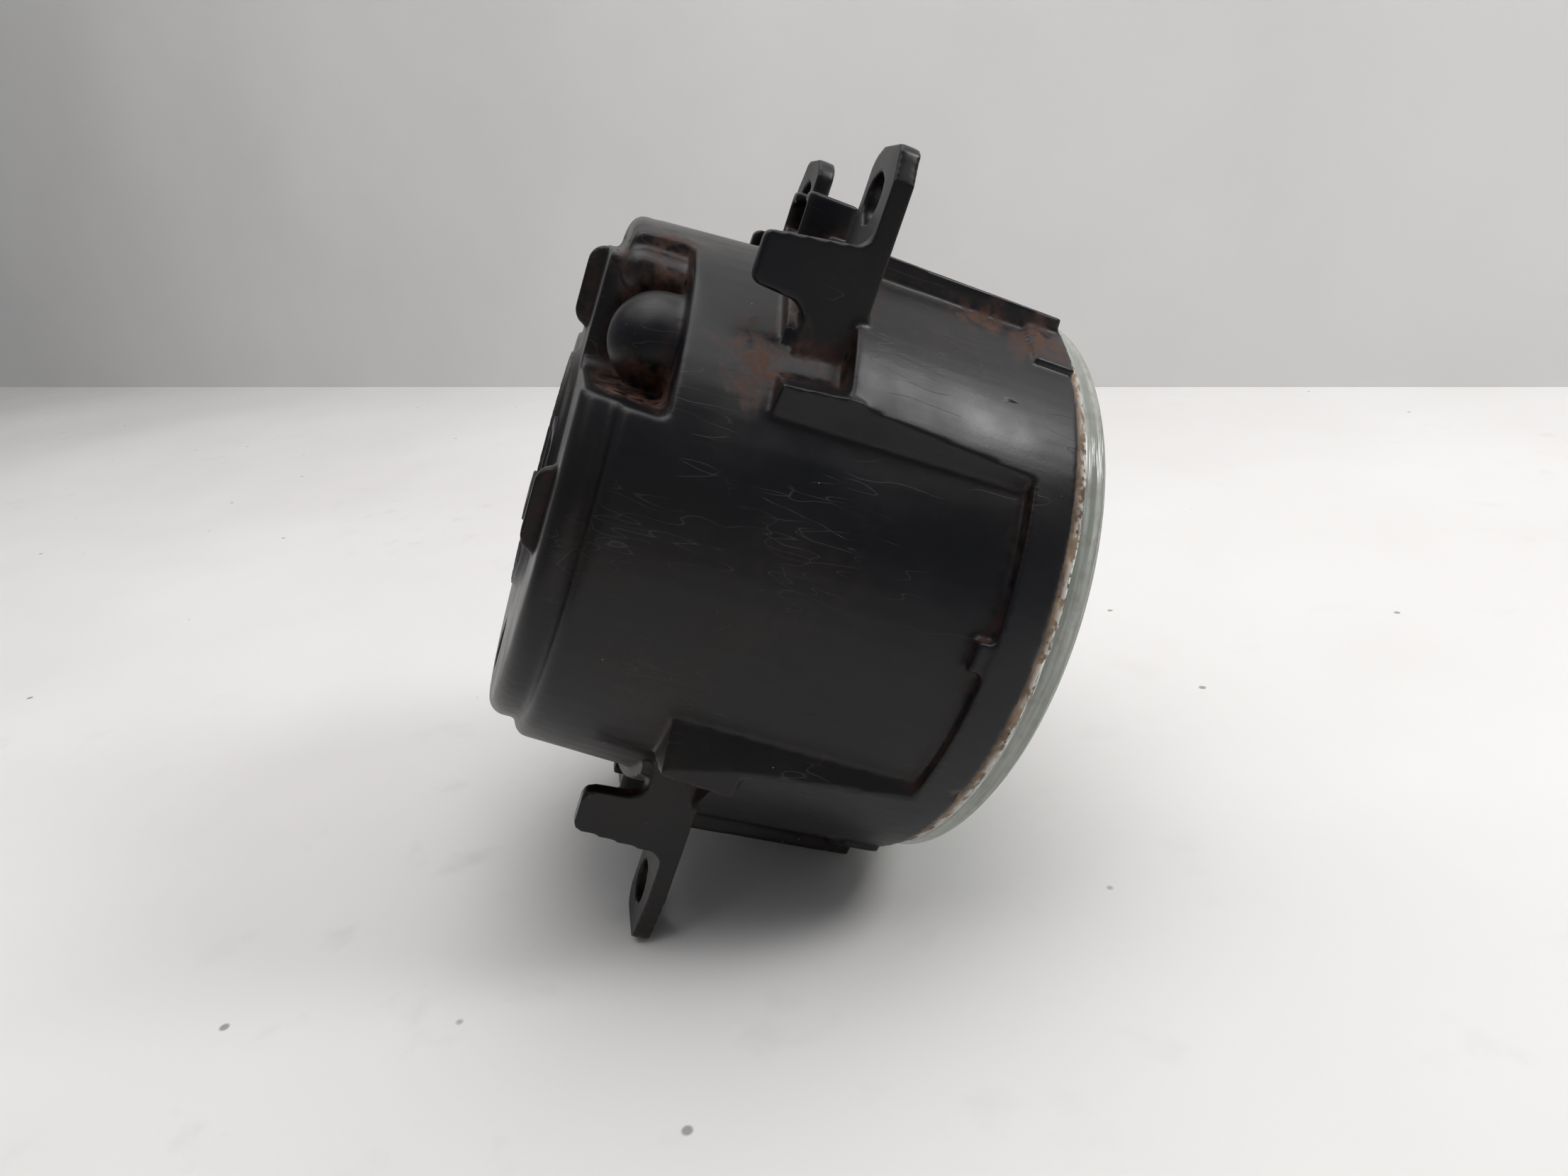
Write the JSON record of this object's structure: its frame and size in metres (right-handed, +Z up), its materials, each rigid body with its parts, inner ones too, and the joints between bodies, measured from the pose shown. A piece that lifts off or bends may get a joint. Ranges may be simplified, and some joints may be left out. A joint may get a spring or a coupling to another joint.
{
  "type": "fog light",
  "caption": "Round front fog light: black moulded housing with screw ears, domed glass lens, tilting reflector with a rear height adjuster, and a twist-in bulb.",
  "frame": {"origin": "centre of the rectangle of ear holes, in the ears' front faces", "axes": "-Y is the way the lens faces along the optical axis, +Z is up, X is across the lamp"},
  "size_m": [0.093, 0.0852, 0.1197],
  "materials": {
    "black_moulding": "satin black glass-filled plastic with dust and scratches",
    "lens_glass": "clear pressed glass, slightly green at the edge",
    "sealant": "tan cured adhesive bead",
    "bright_reflector": "vacuum-aluminised inside, dull grey outside",
    "zinc_steel": "bright zinc plate",
    "natural_nylon": "natural nylon",
    "yellow_zinc_steel": "yellow zinc plate",
    "spring_steel": "phosphated spring steel",
    "seal_rubber": "matte black rubber",
    "vent_film": "white porous film",
    "bulb_plastic": "dark grey moulded plastic",
    "orange_silicone": "orange silicone",
    "contact_metal": "tinned brass",
    "bulb_metal": "plated steel",
    "bulb_quartz": "clear quartz with a black coated tip",
    "tungsten": "tungsten",
    "lead_metal": "drawn wire"
  },
  "bodies": {
    "lamp": {"housing": "black_moulding", "lens_glass": "lens_glass", "lens_sealant": "sealant", "pivot_socket_left": "natural_nylon", "pivot_socket_right": "natural_nylon", "vent_plug": "seal_rubber", "vent_membrane": "vent_film"},
    "reflector_unit": {"reflector": "bright_reflector", "pivot_stud_left": "zinc_steel", "pivot_stud_right": "zinc_steel"},
    "adjuster": {"adjuster_screw": "yellow_zinc_steel", "adjuster_clip": "spring_steel", "adjuster_seal": "seal_rubber"},
    "nut": {"adjuster_nut": "natural_nylon"},
    "bulb": {"bulb_base": "bulb_plastic", "bulb_seal": "orange_silicone", "bulb_contacts": "contact_metal", "bulb_ferrule": "bulb_metal", "bulb_glass": "bulb_quartz", "bulb_filament": "tungsten", "bulb_leads": "lead_metal"}
  },
  "joints": [
    {"name": "adjuster_turn", "type": "hinge", "parent": "lamp", "child": "adjuster", "pos_m": [0, 0.022, -0.0283], "axis": [0, 1, 0], "range_deg": [-690, 690]},
    {"name": "reflector_tilt", "type": "hinge", "parent": "lamp", "child": "reflector_unit", "pos_m": [0, 0.0205, 0.0269], "axis": [1, 0, 0], "range_deg": [-2, 2]},
    {"name": "nut_slide", "type": "slide", "parent": "lamp", "child": "nut", "axis": [0, 1, 0], "range_m": [-0.00192, 0.00192]},
    {"name": "bulb_twist", "type": "hinge", "parent": "lamp", "child": "bulb", "pos_m": [0, 0.0145, 0.0017], "axis": [0, 1, 0], "range_deg": [0, 40]}
  ],
  "couplings": [
    {"joint": "nut_slide", "follows": "adjuster_turn", "m_per_rad": -0.00015915},
    {"joint": "reflector_tilt", "follows": "adjuster_turn", "ratio": -0.0028832}
  ]
}
